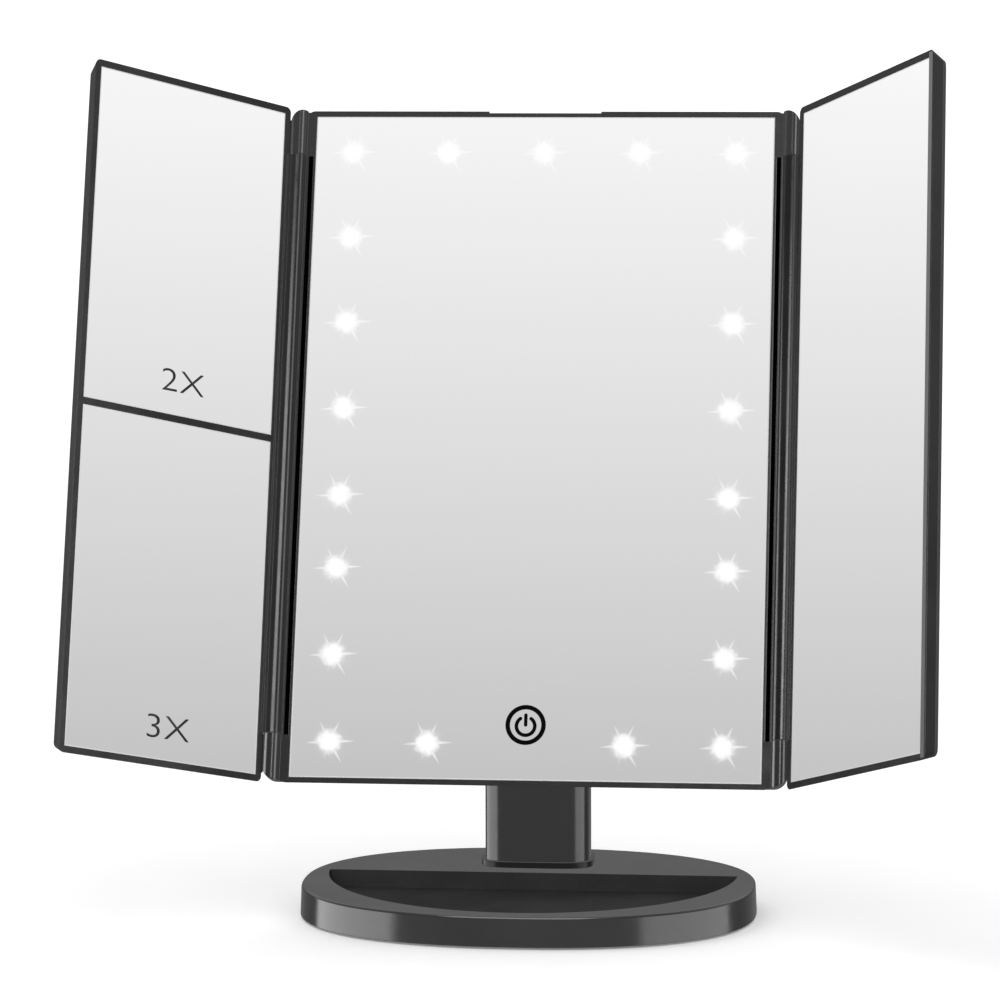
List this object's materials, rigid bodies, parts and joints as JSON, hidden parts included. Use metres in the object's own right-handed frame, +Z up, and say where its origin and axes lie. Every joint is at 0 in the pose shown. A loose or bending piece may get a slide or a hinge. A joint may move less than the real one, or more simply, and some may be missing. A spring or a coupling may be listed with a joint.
{
  "type": "trifold vanity mirror",
  "caption": "Free-standing tabletop make-up mirror with a lit centre panel, two folding wings, a tilt joint and an oval tray base.",
  "frame": {"origin": "on the floor under the middle of the base, on the underside of its pad", "axes": "+X to the right as the viewer faces the mirror, +Y away from the viewer, +Z up"},
  "size_m": [0.2921, 0.1571, 0.2953],
  "materials": {
    "charcoal_plastic": "satin charcoal",
    "mirror_glass": "silvered glass",
    "steel": "plain",
    "soft_pad": "matte",
    "white_plastic": "matte",
    "board": "solder mask",
    "led_lens": "clear over phosphor",
    "brass": "plated"
  },
  "bodies": {
    "base": {"base_shell": "charcoal_plastic", "base_plate": "charcoal_plastic", "base_pad": "soft_pad", "base_screws": "steel", "neck": "charcoal_plastic", "neck_screws": "steel"},
    "panel": {"tilt_axle": "steel", "tilt_nut": "steel", "tilt_washers": "steel", "centre_frame": "charcoal_plastic", "centre_mirror": "mirror_glass", "light_mask": "white_plastic", "led_board": "board", "leds": "led_lens", "touch_spring": "brass", "control_board": "board", "usb_socket": "steel", "board_screws": "steel", "rear_cover": "charcoal_plastic", "cover_screws": "steel", "battery_contacts": "steel", "battery_springs": "steel", "hinge_pin_left_top": "steel", "hinge_pin_left_bottom": "steel", "hinge_pin_right_top": "steel", "hinge_pin_right_bottom": "steel"},
    "left_wing": {"left_wing_frame": "charcoal_plastic", "left_wing_back": "charcoal_plastic", "mirror_2x": "mirror_glass", "mirror_3x": "mirror_glass"},
    "right_wing": {"right_wing_frame": "charcoal_plastic", "right_wing_back": "charcoal_plastic", "mirror_right": "mirror_glass"},
    "battery_door": {"battery_door": "charcoal_plastic"}
  },
  "joints": [
    {"name": "panel_tilt", "type": "hinge", "parent": "base", "child": "panel", "pos_m": [0, 0.022, 0.0668], "axis": [-1, 0, 0], "range_deg": [-24.5, 25.5]},
    {"name": "left_wing_fold", "type": "hinge", "parent": "panel", "child": "left_wing", "pos_m": [-0.0866, 0.02281, 0.15987], "axis": [0, 0.3338, 0.9426], "range_deg": [-43.8, 136.2]},
    {"name": "right_wing_fold", "type": "hinge", "parent": "panel", "child": "right_wing", "pos_m": [0.0866, 0.02281, 0.15987], "axis": [0, -0.3338, -0.9426], "range_deg": [-54.6, 125.4]},
    {"name": "battery_door_slide", "type": "slide", "parent": "panel", "child": "battery_door", "axis": [0, 0.3338, 0.9426], "range_m": [0, 0.064]}
  ]
}
